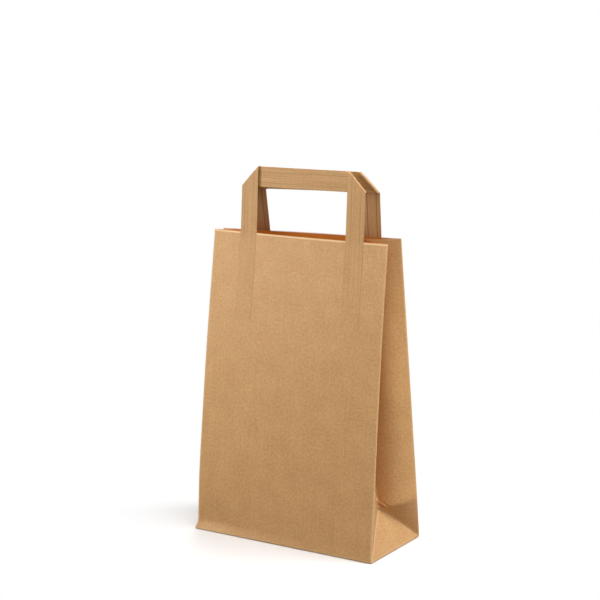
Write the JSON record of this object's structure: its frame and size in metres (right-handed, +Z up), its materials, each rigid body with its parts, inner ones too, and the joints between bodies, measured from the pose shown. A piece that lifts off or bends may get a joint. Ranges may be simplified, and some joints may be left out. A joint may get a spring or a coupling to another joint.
{
  "type": "paper carrier bag",
  "caption": "Plain brown kraft paper carrier bag with gusseted sides, a folded block bottom and flat folded paper strip handles, standing with its mouth partly open.",
  "frame": {"origin": "middle of the bottom rectangle, on the surface the bag stands on", "axes": "+Z up, +X along the front panel's width, -Y out of the front panel"},
  "size_m": [0.22, 0.1021, 0.393],
  "materials": {
    "kraft_paper": "matt unbleached brown kraft paper",
    "handle_paper": "matt brown kraft strip of several pressed plies, finely ribbed along its length"
  },
  "bodies": {
    "root": {"bag_body": "kraft_paper", "front_handle": "handle_paper", "back_handle": "handle_paper"}
  },
  "joints": []
}
